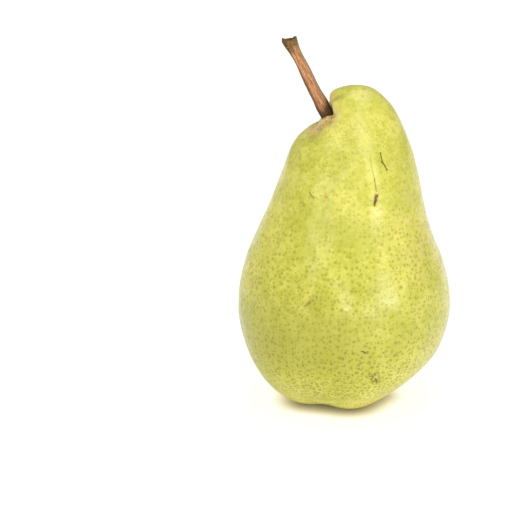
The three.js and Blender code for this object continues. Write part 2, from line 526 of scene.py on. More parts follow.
    def dotted(self, shader: Shader, ground: Wire) -> tuple[Wire, Wire]:
        """Puts the dots on the skin.

        Args:
            shader: The shader.
            ground: The colour between the dots.

        Returns:
            The dotted colour, and 1 in a dot.
        """
        above = shader.vector("MULTIPLY", shader.at, (1.0, 1.0, 0.0))
        cell = shader.distance(above) / self.cells
        radius, low_radius = self.body_dots.radius, self.low_dots.radius
        share = 0.2 + 0.26 * shader.below(96.0, 80.0) + 0.5 * shader.below(70.0, 46.0)
        crowded = 0.44 * shader.below(56.0, 42.0) + 0.38 * shader.below(26.0, 12.0)
        behind = shader.ease(shader.part(shader.at, "Y"), -6.0, 6.0)
        body: Value = 0.0
        for front, shown in ((1.0, 1 - behind), (-1.0, behind)):
            place = self.unrolled(shader, front)
            finer = shader.scaled(place, self.fine_share)
            body = body | self.dots(place, cell, radius, share * shown)
            body = body | self.dots(finer, cell / self.fine_share, low_radius, crowded * shown)
        body = body * (1 - shader.below(8.0, 5.0)) * shader.below(97.0, 93.0)
        small = shader.scaled(above, 1 / self.sole_cell)
        sole = self.dots(small, self.sole_cell, low_radius, 0.95) * shader.below(8.0, 5.0)
        large = shader.scaled(above, 1 / self.crown_cell)
        crown = self.dots(large, self.crown_cell, radius, 0.45) * (1 - shader.below(97.0, 93.0))
        every = body | sole | crown
        dark = shader.below(44.0, 16.0)
        colour = shader.mix(dark, self.body_dots.colour, self.low_dots.colour)
        stronger = self.low_dots.strength - self.body_dots.strength
        strength = self.body_dots.strength + dark * stronger
        faint = 0.55 + 0.45 * shader.below(76.0, 48.0)
        return shader.mix(every * faint * strength, ground, colour), every

    def material(self) -> bpy.types.Material:
        """Builds the skin's material.

        Returns:
            The material.
        """
        shader = Shader("pear_skin")
        colour, dot = self.dotted(shader, self.ground(shader))

        ragged = 9.0 * (shader.noise(3.2, 4.0, 0.65) - 0.5)
        russet: Value = 0.0
        deep: Value = 0.0
        for patch in self.russets:
            away = shader.distance(shader.at, patch.middle) + ragged
            russet = russet | shader.ease(away, patch.starts, patch.full)
            deep = deep | shader.ease(away, patch.core_starts, patch.core_full)
        speckle = shader.ease(shader.noise(0.9, 3.0, 0.7), 0.5, 0.6)
        rough_skin = ((russet * 0.7, self.russet), (deep * speckle * 0.8, self.deep_russet))
        colour = shader.layered(colour, *rough_skin)

        scars_and_painted_light: Value = 0.0
        dulled: Value = 0.0
        uneven = shader.noise(0.8, 2.0, 0.6) - 0.5
        # The marks hold real scars and specks, and also painted highlights and painted shade; all
        # of them sink the skin's bump a little.
        for mark in self.marks:
            here = self.stroke(shader, mark, uneven)
            colour = shader.mix(here, colour, mark.colour)
            scars_and_painted_light = scars_and_painted_light | here
            if mark.dull:
                dulled = dulled | here * (mark.dull / mark.strength)

        relief = shader.noise(3.4, 1.0, 0.4) * 0.5 + shader.noise(1.0) * 0.2
        wax = 0.38 + 0.4 * shader.ease(shader.noise(2.4, 3.0, 0.6), 0.38, 0.6)
        return shader.finish(
            {
                "Base Color": colour,
                "Roughness": 0.4 + 0.1 * shader.noise(6.0) + russet * 0.25 + dot * 0.06,
                "Normal": shader.bump(relief + dot * 0.1 - scars_and_painted_light * 0.35, self.relief_depth),
                "Subsurface Weight": 0.12,
                "Subsurface Radius": (3.0, 2.6, 0.7),
                "Subsurface Scale": 0.6 * MM,
                "Specular IOR Level": 0.3,
                "Coat Weight": wax * (1 - dulled) * (1 - 0.75 * shader.below(30.0, 8.0)),
                "Coat Roughness": 0.19,
                "Coat IOR": 1.45,
            }
        )


@dataclass(frozen=True)
class BarkFinish:
    """The stem's dry bark: fibres along it, a dark foot, a weathered tip, painted shade down its
    left side and painted pale light down its right.
    """

    pale: Colour = srgb(232, 180, 126)
    tan: Colour = srgb(212, 150, 100)
    brown: Colour = srgb(150, 98, 64)
    # Painted shade for the stem's left side, and painted pale light for its right side.
    shade: Colour = srgb(90, 62, 42)
    grey: Colour = srgb(146, 126, 88)
    dark: Colour = srgb(62, 42, 30)
    tip: Colour = srgb(86, 66, 14)
    foot_height: float = 92.5
    lower_full: float = 98.0
    lower_top: float = 107.0
    tip_height: float = 118.0
    lean: float = 27.0  # degrees
    middle: float = 37.2  # from the origin to the stem's middle line, square to the lean
    stretch: float = 11.0  # how much longer than wide a fibre is
    relief_depth: float = 0.28

    def material(self) -> bpy.types.Material:
        """Builds the bark's material.

        Returns:
            The material.
        """
        shader = Shader("stem_bark")
        cosine, sine = math.cos(math.radians(self.lean)), math.sin(math.radians(self.lean))
        upward = shader.dot(shader.at, (-sine, 0.0, cosine))
        beside = shader.dot(shader.at, (cosine, 0.0, sine)) - self.middle
        along = shader.joined(beside, shader.part(shader.at, "Y"), upward / self.stretch)
        fibre = shader.noise(0.5, 3.0, 0.6, along)
        strand = shader.noise(0.22, 2.0, 0.6, along)
        flake = shader.noise(1.2, 4.0, 0.65)
        edge = beside + 0.8 * (flake - 0.5)
        ragged = shader.height + 4.0 * (flake - 0.5) - 1.4 * (beside | 0.0)
        foot = shader.ease(ragged, self.foot_height + 5.0, self.foot_height + 1.8)
        weathered = shader.height + 3.0 * (flake - 0.5) - 1.2 * beside
        top = shader.ease(weathered, self.tip_height - 5.5, self.tip_height - 2.0)
        speck = shader.ease(shader.noise(0.5, 2.0, 0.7), 0.66, 0.72)
        colour = shader.layered(
            self.brown,
            (shader.ease(fibre, 0.36, 0.6), self.tan),
            (shader.ease(strand, 0.5, 0.65) * 0.7, self.pale),
            (shader.ease(flake, 0.52, 0.7) * 0.5, self.brown),
            # Painted shade darkens the left side, and painted pale light greys the right side.
            (shader.ease(edge, -0.8, -1.6) * 0.9, self.shade),
            (shader.ease(edge, 0.8, 1.5) * 0.75, self.grey),
            (shader.ease(ragged, self.lower_top, self.lower_full) * 0.25, self.brown),
            (foot * 0.82, self.dark),
            (top * (0.6 + 0.4 * shader.ease(strand, 0.6, 0.4)), self.tip),
            (speck * 0.6, self.pale),
        )
        relief = fibre * 0.5 + strand * 0.3 + flake * 0.2
        return shader.finish(
            {
                "Base Color": colour,
                "Roughness": 0.6 + 0.2 * flake,
                "Normal": shader.bump(relief, self.relief_depth),
                "Specular IOR Level": 0.35,
            }
        )


@dataclass(frozen=True)
class DryFlowerFinish:
    """The brown, papery look of the dried sepals and stamens."""

    name: str
    light: Colour
    dark: Colour
    fleck: float = 0.5
    relief_depth: float = 0.12

    def material(self) -> bpy.types.Material:
        """Builds the dried flower's material.

        Returns:
            The material.
        """
        shader = Shader(self.name)
        fleck = shader.noise(self.fleck, 4.0, 0.65)
        patch = shader.noise(1.8)
        light = shader.ease(fleck, 0.35, 0.65)
        dark = shader.ease(patch, 0.45, 0.65) * 0.6
        colour = shader.layered(self.dark, (light, self.light), (dark, self.dark))
        return shader.finish(
            {
                "Base Color": colour,
                "Roughness": 0.78 + 0.15 * fleck,
                "Normal": shader.bump(fleck, self.relief_depth),
                "Specular IOR Level": 0.3,
            }
        )


# ---- Meshes ----


class Piece:
    """A mesh of the pear, and the way it joins the frame."""

    def __init__(self, name: str, mesh: bpy.types.Mesh) -> None:
        """Makes an object of a mesh, in the scene."""
        self.item = bpy.data.objects.new(name, mesh)
        bpy.context.scene.collection.objects.link(self.item)

    @classmethod
    def tube(cls, name: str, rings: np.ndarray, start: Point, end: Point) -> "Piece":
        """A smooth closed tube through rings of points.

        Args:
            name: The piece's name.
            rings: The rings' points, in millimetres.
            start: The point that closes the first ring.
            end: The point that closes the last ring.

        Returns:
            The piece.
        """
        count, sides = rings.shape[:2]
        corners = [tuple(p) for p in rings.reshape(-1, 3) * MM]
        faces: list[tuple[int, ...]] = []
        for low in range(0, (count - 1) * sides, sides):
            high = low + sides
            for c in range(sides):
                d = (c + 1) % sides
                faces.append((low + c, low + d, high + d, high + c))
        for tip, first, step in ((start, 0, -1), (end, (count - 1) * sides, 1)):
            corners.append(tuple(np.array(tip) * MM))
            for c in range(sides):
                edge = (first + c, first + (c + 1) % sides)
                faces.append((len(corners) - 1, *edge[::step]))
        mesh = bpy.data.meshes.new(name)
        mesh.from_pydata(corners, [], faces)
        mesh.validate()
        mesh.shade_smooth()
        return cls(name, mesh)

    @classmethod
    def grown_from(cls, node: str, name: str, levels: int) -> "Piece":
        """A smooth, finely divided copy of a node of the frame.

        Args:
            node: The node's name.
            name: The new piece's name.
            levels: How many times each face is divided.

        Returns:
            The piece.
        """
        shape = bmesh.new()
        shape.from_mesh(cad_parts[node].data)
        bmesh.ops.remove_doubles(shape, verts=shape.verts, dist=1e-6)
        limit = math.radians(60)
        bmesh.ops.join_triangles(
            shape, faces=shape.faces, angle_face_threshold=limit, angle_shape_threshold=limit
        )
        mesh = bpy.data.meshes.new(name)
        shape.to_mesh(mesh)
        shape.free()
        piece = cls(name, mesh)
        rounding = piece.item.modifiers.new("rounding", "SUBSURF")
        rounding.levels = levels
        rounding.render_levels = levels
        graph = bpy.context.evaluated_depsgraph_get()
        rounded = bpy.data.meshes.new_from_object(piece.item.evaluated_get(graph))
        rounded.name = name
        rounded.shade_smooth()
        piece.item.modifiers.clear()
        piece.item.data = rounded
        return piece

    def _read(self, name: str) -> np.ndarray:
        """Reads a vector of each point of the mesh.

        Args:
            name: Blender's name for the vector.

        Returns:
            The vectors, one a row.
        """
        flat = np.zeros(len(self.item.data.vertices) * 3)
        self.item.data.vertices.foreach_get(name, flat)
        return flat.reshape(-1, 3)

    def points(self) -> np.ndarray:
        """The mesh's points, in millimetres."""
        return self._read("co") / MM

    def normals(self) -> np.ndarray:
        """The mesh's outward directions, one for each point."""
        return self._read("normal")

    def move_points(self, points: np.ndarray) -> None:
        """Puts the mesh's points at these places, in millimetres."""
        self.item.data.vertices.foreach_set("co", (points * MM).ravel())
        self.item.data.update()

    def on_skin(self, mark: Mark, step: float = 1.6) -> Mark:
        """Lays a mark's line on the surface.

        Args:
            mark: The mark, near the surface.
            step: The longest straight run that the line keeps, in millimetres.

        Returns:
            The same mark, with its line on the surface.
        """
        line: list[Point] = []
        for start, end in zip(mark.path, mark.path[1:]):
            run = Vector(end) - Vector(start)
            parts = max(1, round(run.length / step)) if mark.width < step else 1
            for part in range(parts + (end == mark.path[-1])):
                near = (Vector(start) + run * part / parts) * MM
                _, place, _, _ = self.item.closest_point_on_mesh(near)
                line.append(tuple(place / MM))
        return replace(mark, path=tuple(line))

    def join_frame(self, nodes: Sequence[str], slot: str, look: bpy.types.Material) -> None:
        """Stands the piece for nodes of the frame, with its finish.

        Args:
            nodes: The nodes that it replaces.
            slot: The record's material slot; it is not used.
            look: The material.
        """
        self.item.data.materials.clear()
        self.item.data.materials.append(look)
        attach(self.item, ROOT)
        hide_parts(*nodes)
        faces = len(self.item.data.polygons)
        log.info("%s: %d faces, stands for %s", self.item.name, faces, ", ".join(nodes))


# ---- The fruit ----


@dataclass(frozen=True)
class Swell:
    """A soft rise or dent on the fruit, by the place of its middle."""

    azimuth: float
    height: float
    across: float
    along: float
    rise: float
    flatness: float = 1.0

    def lift(self, points: np.ndarray) -> np.ndarray:
        """How far this pushes each point out.

        Args:
            points: The points in millimetres, one a row.

        Returns:
            One push for each point, in millimetres.
        """
        angles = np.arctan2(points[:, 1], points[:, 0]) - math.radians(self.azimuth)
        turn = np.arctan2(np.sin(angles), np.cos(angles))
        girth = np.hypot(points[:, 0], points[:, 1])
        away = np.hypot(turn * girth / self.across, (points[:, 2] - self.height) / self.along)
        return self.rise * hill(away**self.flatness, 1.0)


@dataclass(frozen=True)
class Fold:
    """A raised ridge, or a crease where the rise is below 0, along a line on the fruit."""

    path: tuple[Point, ...]
    width: float
    rise: float

    def lift(self, points: np.ndarray) -> np.ndarray:
        """How far this pushes each point out, in millimetres."""
        away, share = distance_to_path(points, self.path)
        return self.rise * hill(away, self.width) * (0.4 + 0.6 * np.sin(math.pi * share))


@dataclass(frozen=True)
class Pucker:
    """Fine folds that run into a hollow, like the ribs of a shell."""

    middle: Point
    count: int
    reach: float
    spread: float
    rise: float

    def lift(self, points: np.ndarray) -> np.ndarray:
        """How far this pushes each point out.

        Args:
            points: The points in millimetres, one a row.

        Returns:
            One push for each point, in millimetres.
        """
        off = points - np.array(self.middle)
        away = np.linalg.norm(off, axis=1)
        turn = np.arctan2(off[:, 1], off[:, 0])
        wander = 1.6 * np.sin(2 * turn + self.count) + 0.9 * np.sin(3 * turn)
        return self.rise * np.cos(self.count * turn + wander) * hill(away - self.reach, self.spread)


@dataclass(frozen=True)
class Push:
    """A soft shove of the skin round one place, in millimetres."""

    middle: Point
    reach: float
    shift: Point

    def moved(self, points: np.ndarray) -> np.ndarray:
        """How far this moves each point, as vectors in millimetres."""
        away = np.linalg.norm(points - np.array(self.middle), axis=1)
        return hill(away, self.reach)[:, None] * np.array(self.shift)


@dataclass
class Fruit:
    """The fruit, in one piece of skin; each swell of its waviness has a size and a rise."""

    levels: int = 3
    level_foot: float = 3.0  # the lumps die away from here down, so that the fruit stands level
    girth_heights: tuple[float, float, int] = (4.0, 98.0, 28)  # lowest, highest, how many
    girth_band: float = 1.0
    waviness: Pairs = ((12.0, 0.2), (7.0, 0.13), (3.6, 0.05))
    swells: tuple[Swell, ...] = (
        Swell(-68.0, 42.2, 4.8, 4.8, 0.1, 1.5),
        Swell(-93.0, 41.2, 4.0, 4.4, 0.12, 1.5),
        Swell(-70.0, 57.0, 6.0, 5.5, 0.35),
        Swell(-70.0, 73.0, 5.5, 6.5, -0.28),
        Swell(-110.0, 51.5, 5.5, 5.0, 0.32, 1.5),
        Swell(-103.0, 88.0, 5.0, 8.0, -0.45),
        Swell(-40.0, 88.0, 5.0, 7.0, -0.3),
    )
    folds: tuple[Fold, ...] = (
        Fold(((3.2, -11.2, 94.6), (5.3, -16.4, 87.0), (7.1, -18.6, 82.2)), 2.6, 0.55),
        Fold(((-4.4, -4.0, 99.0), (-2.8, -4.2, 100.3), (-0.4, -3.7, 101.7)), 0.9, -0.3),
        Fold(((-2.9, -30.6, 18.3), (-2.7, -27.3, 12.3), (-2.3, -21.3, 5.6)), 2.2, -0.5),
    )
    puckers: tuple[Pucker, ...] = (
        Pucker((-5.8, 0.0, 91.9), 8, 4.6, 2.2, 0.16),
        Pucker((-1.7, 0.0, 5.1), 10, 8.5, 3.2, 0.2),
    )
    pushes: tuple[Push, ...] = (
        Push((-4.2, -1.0, 100.4), 2.8, (-1.0, 0.0, 0.2)),
        Push((-7.2, -4.6, 91.8), 2.6, (0.0, 0.0, 2.8)),
        Push((-5.6, -6.2, 94.8), 2.4, (1.6, 0.0, 0.0)),
        Push((-4.4, -2.5, 95.5), 2.0, (1.2, 0.4, 0.0)),
        Push((-4.9, -5.2, 95.0), 1.6, (0.0, 0.0, -1.1)),
    )
    marks: tuple[Mark, ...] = (
        # The painted highlight along the ridge under the head, and the dull skin at its foot.
        Mark(((3.2, -11.2, 94.6), (5.3, -16.4, 87.0), (6.6, -18.0, 80.5)),
             3.2, srgb(246, 241, 150), 0.4, patchy=0.4),
        Mark(((6.6, -18.6, 81.0), (7.4, -19.4, 79.0), (8.4, -20.6, 74.0)),
             3.0, srgb(234, 228, 112), 0.3, dull=0.8),
        # Green painted shade across the hollow of the waist.
        Mark(((-13.0, -19.5, 66.0), (-3.0, -24.0, 62.0), (6.0, -24.5, 61.0)),
             7.5, srgb(172, 176, 44), 0.4),
        # A scratch high on the right.
        Mark(((9.8, -15.7, 85.3), (10.4, -16.6, 82.7)), 0.36, srgb(104, 92, 30), 0.9, 0.12),
        Mark(((10.4, -16.6, 82.7), (11.5, -16.6, 80.9), (11.8, -16.7, 80.2)),
             0.5, srgb(104, 88, 30), 0.9, 0.12),
        # The fine line that runs down to the scar.
        Mark(((6.5, -18.3, 84.4), (7.1, -19.2, 81.1), (7.8, -19.6, 78.4)),
             0.34, srgb(158, 140, 60), 0.55, 0.08, 0.4),
        Mark(((7.8, -19.6, 78.4), (8.2, -20.1, 75.8), (8.5, -20.4, 74.2)),
             0.3, srgb(138, 118, 40), 0.75, 0.08),
        # The spindle-shaped scar: halo, body, tail, and a white fleck of painted highlight on its
        # top.
        Mark(((8.7, -20.6, 73.7), (8.0, -21.6, 70.7)), 1.2, srgb(206, 186, 76), 0.5),
        Mark(((8.5, -20.6, 73.3), (8.4, -20.8, 72.5), (8.0, -21.3, 71.4)),
             0.78, srgb(112, 78, 28), 0.95, 0.2),
        Mark(((8.3, -20.9, 72.3), (7.8, -21.7, 70.3)), 0.44, srgb(84, 60, 24), 0.95, 0.15),
        # The painted highlight: a white glint on the scar's top.
        Mark(((8.7, -20.4, 74.0), (8.6, -20.5, 73.6)), 0.28, srgb(246, 240, 204), 0.55),
        # An orange spot, and two olive nicks beside it.
        Mark(((-7.0, -20.5, 72.8), (-6.8, -20.5, 72.6)), 1.3, srgb(206, 160, 58), 0.5, patchy=0.3),
        Mark(((-6.9, -20.5, 72.7), (-6.7, -20.5, 72.6)), 0.5, srgb(178, 112, 44), 0.7, 0.1),
        Mark(((-11.8, -17.9, 73.4), (-11.4, -18.5, 72.6), (-10.5, -19.2, 72.1)),
             0.36, srgb(132, 124, 50), 0.8, 0.1),
        Mark(((-14.4, -17.2, 70.2), (-13.5, -18.1, 69.9), (-13.7, -18.2, 69.2)),
             0.34, srgb(160, 150, 62), 0.6),
        # The tan lip over the stem, and olive painted shade in the crease behind it.
        Mark(((-4.8, -3.3, 98.8), (-4.4, -2.4, 100.4), (-3.6, -1.0, 101.6)),
             1.6, srgb(222, 196, 128), 0.6, patchy=0.5),
        Mark(((-4.4, -4.0, 99.0), (-2.8, -4.2, 100.3)), 0.9, srgb(170, 162, 70), 0.75, patchy=0.3),
        Mark(((-3.4, -4.3, 100.1), (-2.4, -4.1, 100.7)), 1.4, srgb(164, 158, 62), 0.6, patchy=0.2),
        # Russet below the stem.
        Mark(((-9.0, -7.4, 90.6), (-5.0, -8.0, 92.6)), 1.7, srgb(178, 128, 66), 0.7, patchy=0.9),
        Mark(((-11.0, -6.4, 88.9), (-10.0, -7.2, 88.3)), 1.6, srgb(192, 142, 80), 0.6, patchy=0.5),
        # A scuff on the belly.
        Mark(((-13.2, -29.6, 40.4), (-11.7, -29.9, 42.1), (-9.9, -30.3, 43.8)),
             1.0, srgb(138, 128, 52), 0.75, 0.1, 0.9),
        # A tick, and a cluster of dark specks, near the base.
        Mark(((4.0, -33.0, 27.2), (4.7, -33.0, 27.0), (5.3, -33.0, 26.5)),
             0.36, srgb(104, 84, 30), 0.95, 0.12),
        Mark(((5.8, -32.8, 27.0), (6.2, -32.7, 26.9)), 0.34, srgb(128, 112, 40), 0.8, 0.1),
        Mark(((8.0, -29.6, 18.0), (9.2, -28.7, 15.6)), 2.6, srgb(104, 94, 10), 0.9, patchy=0.97),
    )
    piece: Piece = field(init=False)

    def build(self) -> None:
        """Shapes the fruit from the frame's body."""
        self.piece = Piece.grown_from("pear_body", "pear_fruit", self.levels)
        points, normals = self.piece.points(), self.piece.normals()
        for push in self.pushes:
            points += push.moved(points)
        lift = np.zeros(len(points))
        for index, (size, rise) in enumerate(self.waviness):
            lift += rise * grain(points, size, seed=index + 1.0)
        for shape in (*self.swells, *self.folds, *self.puckers):
            lift += shape.lift(points)
        for mark in self.marks:
            away, _ = distance_to_path(points, mark.path)
            lift -= mark.depth * hill(away, mark.width)
        standing = smoothstep(points[:, 2], 0.0, self.level_foot)
        points += normals * (lift * standing)[:, None]
        self.piece.move_points(points)

    def girths(self) -> Pairs:
        """Measures how far the skin is from the upright axis, at even heights up the fruit.

        Returns:
            Each height and the distance there, in millimetres.
        """
        points = self.piece.points()
        reach = np.hypot(points[:, 0], points[:, 1])
        rows = []
        for height in np.linspace(*self.girth_heights):
            near = np.abs(points[:, 2] - height) < self.girth_band
            rows.append((float(height), float(np.median(reach[near]))))
        return tuple(rows)

    def dress(self) -> None:
        """Gives the fruit its skin."""
        marks = tuple(self.piece.on_skin(mark) for mark in self.marks)
        look = SkinFinish(girths=self.girths(), marks=marks).material()
        self.piece.join_frame(["pear_body"], "skin", look)


# ---- The stem ----


@dataclass
class Stem:
    """The woody stem: ridged bark, thick where it grips the fruit, torn at its tip."""

    line: tuple[Point, ...] = (
        (-5.2, 0.0, 91.9), (-5.5, 0.0, 92.6), (-7.4, 0.1, 96.8), (-10.2, 0.3, 101.8),
        (-13.0, 0.5, 107.8), (-15.9, 0.7, 113.2), (-18.2, 0.8, 117.6),
    )
    radii: Pairs = (
        (0.0, 1.8), (0.04, 1.9), (0.14, 2.1), (0.3, 1.85), (0.5, 1.78), (0.72, 1.58),
        (0.84, 1.7), (0.94, 2.1), (1.0, 2.3),
    )
    cup: Pairs = ((0.9, -0.12), (0.82, 0.05), (0.74, 0.45), (0.6, 0.75), (0.42, 0.9), (0.2, 1.0))
    rings: int = 240
    sides: int = 144
    smoothing: int = 6
    ridges: int = 11
    twist: float = 0.5
    ridge_depth: float = 0.13
    wander_depth: float = 0.1
    fibre_depth: float = 0.05
    knob_rise: float = 0.25
    knob_share: float = 0.2
    flare_rise: float = 0.25
    worn_left: float = 0.7
    shred: float = 0.22
    heel_depth: float = 0.4
    cup_depth: float = 1.05
    piece: Piece = field(init=False)

    def middle(self, shares: np.ndarray) -> np.ndarray:
        """Places along the stem's middle, on a smooth curve through its line.

        Args:
            shares: How far along the stem, from 0 to 1.

        Returns:
            The points, one a row.
        """
        knots = np.array(self.line)
        steps = np.linalg.norm(np.diff(knots, axis=0), axis=1)
        places = np.concatenate([[0], np.cumsum(steps)]) / steps.sum()
        slopes = np.gradient(knots, places, axis=0)
        index = np.clip(np.searchsorted(places, shares, side="right") - 1, 0, len(knots) - 2)
        gap = (places[index + 1] - places[index])[:, None]
        t = (shares - places[index])[:, None] / gap
        return (
            (2 * t**3 - 3 * t**2 + 1) * knots[index]
            + (t**3 - 2 * t**2 + t) * gap * slopes[index]
            + (-2 * t**3 + 3 * t**2) * knots[index + 1]
            + (t**3 - t**2) * gap * slopes[index + 1]
        )

    def girth(self, share: np.ndarray, angle: np.ndarray, ring: np.ndarray) -> np.ndarray:
        """The stem's radius with its bark's ridges, its knob and its flared, worn tip.

        Args:
            share: How far along the stem, from 0 to 1.
            angle: How far round it, in radians.
            ring: The same places on a plain round stem, where the bark's unevenness is read.

        Returns:
            The radius at each place.
        """
        places, sizes = np.array(self.radii).T
        radius = np.interp(share[:, 0], places, sizes)
        blur = 2 * self.smoothing + 1
        radius = np.convolve(np.pad(radius, self.smoothing, "edge"), np.ones(blur) / blur, "valid")
        wander = grain(ring.reshape(-1, 3), 1.2, 3.0, 2).reshape(share.shape)
        fibre = grain((ring * [3.2, 3.2, 1.0]).reshape(-1, 3), 0.8, 7.0, 2).reshape(share.shape)
        turn = angle + self.twist * share
        ridge = np.abs(np.sin(self.ridges * 0.5 * (turn + 0.3 * wander))) ** 0.7
        flare = smoothstep(share, 0.82, 1.0)
        rough = self.ridge_depth * (ridge - 0.6) + self.wander_depth * wander
        rough += self.fibre_depth * fibre
        r = radius[:, None] * (1 + rough * (1 - 0.3 * flare))
        knob = hill(share - self.knob_share, 0.07) * hill(np.cos(angle / 2), 0.6)
        r += self.knob_rise * knob + flare * self.flare_rise * np.cos(2 * angle + 0.6)
        left_side = hill(1 + np.cos(angle), 0.5)
        return r - self.worn_left * left_side * smoothstep(share, 0.95, 1.0) ** 2

    def build(self) -> None:
        """Shapes the stem as rings along its middle, then turns its torn end inward."""
        shares = np.linspace(0, 1, self.rings)
        angles = np.linspace(0, 2 * math.pi, self.sides, endpoint=False)
        middles = self.middle(shares)
        forward = unit(np.gradient(middles, axis=0))
        side = unit(np.cross(np.array([0.0, 1.0, 0.0]), forward))
        back = np.cross(forward, side)
        share, angle = np.meshgrid(shares, angles, indexing="ij")
        turn = angle + self.twist * share
        ring = polar(1.6, turn, share * 5.0)
        r = self.girth(share, angle, ring)
        torn = 0.28 * grain(ring[-1] * [1.4, 1.4, 1.0], 1.0, 5.0, 3) + 0.35 * np.cos(2 * angles)
        torn -= 0.1 + 0.75 * np.cos(angles)
        reach = smoothstep(share, 0.9, 1.0) * torn[None, :] * 1.1
        wall = (
            middles[:, None, :]
            + side[:, None, :] * (r * np.cos(angle))[..., None]
            + back[:, None, :] * (r * np.sin(angle))[..., None]
            + forward[:, None, :] * reach[..., None]
        )
        rings = [wall]
        lip, centre, out = wall[-1], middles[-1], forward[-1]
        for inward, sink in self.cup:
            shred = self.shred * grain(lip * inward, 0.5, 11.0, 2)
            deep = out * (sink + shred[:, None] * sink)
            rings.append((centre + (lip - centre) * inward - deep)[None])
        heel = tuple(middles[0] - forward[0] * self.heel_depth)
        floor = tuple(centre - out * self.cup_depth)
        self.piece = Piece.tube("pear_stem", np.concatenate(rings), heel, floor)

    def dress(self) -> None:
        """Gives the stem its bark."""
        self.piece.join_frame(["stem"], "stem_wood", BarkFinish().material())


# ---- The dried flower ----


@dataclass
class Sepal:
    """One dried sepal: thin, pointed, curled at its edges and tip."""

    number: int
    root: Point
    turn: float
    length: float = 4.2
    width: float = 2.1
    thickness: float = 0.32
    drop: float = 2.5
    inner: float = 1.6
    crumple: float = 0.12
    rows: int = 40
    columns: int = 25
    piece: Piece = field(init=False)

    def build(self) -> None:
        """Shapes the sepal as an upper and a lower skin that meet at its edge."""
        seed = self.number * 1.7
        out = np.linspace(0, 1, self.rows)[:, None]
        across = np.linspace(-1, 1, self.columns)[None, :]
        wide = self.width * (0.5 + 0.62 * np.sin(math.pi * out**0.8)) * (1 - out**2.6) + 0.12
        sway = 0.25 * np.sin(2.2 * out + seed) * out
        x = self.inner + self.length * out * (1 - 0.1 * out) + 0 * across
        y = 0.5 * wide * across + sway
        curl = (0.35 + 0.1 * math.sin(seed)) * across**2 * (0.3 + out)
        tip = 0.7 * smoothstep(out, 0.7, 1.0) * math.cos(seed * 1.3)
        vein = 0.05 * hill(across, 0.12) + 0.02 * np.cos(across * 14)
        z = -self.drop * out**1.4 - curl + tip + vein
        flat = np.stack([x, y, z], -1).reshape(-1, 3)
        z = z + self.crumple * grain(flat, 1.1, seed, 2).reshape(z.shape)
        thick = self.thickness * (1 - 0.5 * out) * np.sqrt(np.clip(1 - across**2, 0, 1))
        upper = np.stack([x, y, z + thick / 2], -1)
        lower = np.stack([x, y, z - thick / 2], -1)[:, ::-1][:, 1:-1]
        rings = np.concatenate([upper, lower], axis=1)
        angle = math.radians(self.turn)
        cosine, sine = math.cos(angle), math.sin(angle)
        spin = np.array([[cosine, sine, 0], [-sine, cosine, 0], [0, 0, 1]])
        spun = rings @ spin + np.array(self.root)
        start, end = tuple(spun[-1].mean(0)), tuple(spun[0].mean(0))
        self.piece = Piece.tube(f"dried_sepal_{self.number}", spun[::-1], start, end)

    def dress(self, look: bpy.types.Material) -> None:
        """Gives the sepal its dry brown finish."""
        self.piece.join_frame([f"sepal_{self.number}"], "dried_sepal", look)


@dataclass
class StamenTuft:
    """The withered stamens and styles: bent threads out of one dry button."""

    root: Point
    threads: int = 22
    length: float = 2.4
    rings: int = 14
    thread_sides: int = 8
    button_sides: int = 40
    button_radius: float = 1.3
    piece: Piece = field(init=False)

    def thread(self, index: int) -> np.ndarray:
        """One bent, tapering thread.

        Args:
            index: Which thread.

        Returns:
            The thread's points, as rings.
        """
        chance = np.random.default_rng(40 + index)
        turn = GOLDEN_ANGLE * index
        spread = 0.95 * math.sqrt((index + 0.5) / self.threads)
        lean = chance.uniform(0.0, 0.5)
        reach = self.length * chance.uniform(0.6, 1.0)
        bend = chance.uniform(-0.4, 0.4)
        t = np.linspace(0, 1, self.rings)
        middle = polar(spread + lean * t, turn + bend * t, 0.15 - reach * t)
        size = 0.13 * (1 - 0.55 * t) + 0.09 * hill(t - 0.93, 0.06)
        angles = np.linspace(0, 2 * math.pi, self.thread_sides, endpoint=False)
        return middle[:, None, :] + polar(1.0, angles, 0.0)[None] * size[:, None, None]

    def button(self) -> np.ndarray:
        """The dry button that the threads grow out of.

        Returns:
            The button's points, as rings.
        """
        t = np.linspace(0, 1, self.rings)[:, None]
        angles = np.linspace(0, 2 * math.pi, self.button_sides, endpoint=False)[None, :]
        radius = self.button_radius * np.sqrt(np.clip(1 - (t * 0.98) ** 2, 0, 1))
        return polar(radius * (1 + 0.06 * np.cos(9 * angles)), angles, -0.3 - 0.55 * t)

    def build(self) -> None:
        """Shapes the button and its threads, as one mesh."""
        base = np.array(self.root)
        top, bottom = tuple(base - [0, 0, 0.3]), tuple(base - [0, 0, 0.86])
        parts = [Piece.tube("button", self.button()[:, ::-1] + base, top, bottom)]
        for index in range(self.threads):
            rings = self.thread(index)[:, ::-1] + base - [0, 0, 0.45]
            start, end = tuple(rings[0].mean(0)), tuple(rings[-1].mean(0))
            parts.append(Piece.tube("thread", rings, start, end))
        whole = bmesh.new()
        for part in parts:
            whole.from_mesh(part.item.data)
            bpy.data.objects.remove(part.item)
        mesh = bpy.data.meshes.new("dried_stamen_tuft")
        whole.to_mesh(mesh)
        whole.free()
        mesh.shade_smooth()
        self.piece = Piece("dried_stamen_tuft", mesh)

    def dress(self, look: bpy.types.Material) -> None:
        """Gives the tuft its dry, blackish finish."""
        self.piece.join_frame(["dried_stamens"], "dried_stamen", look)


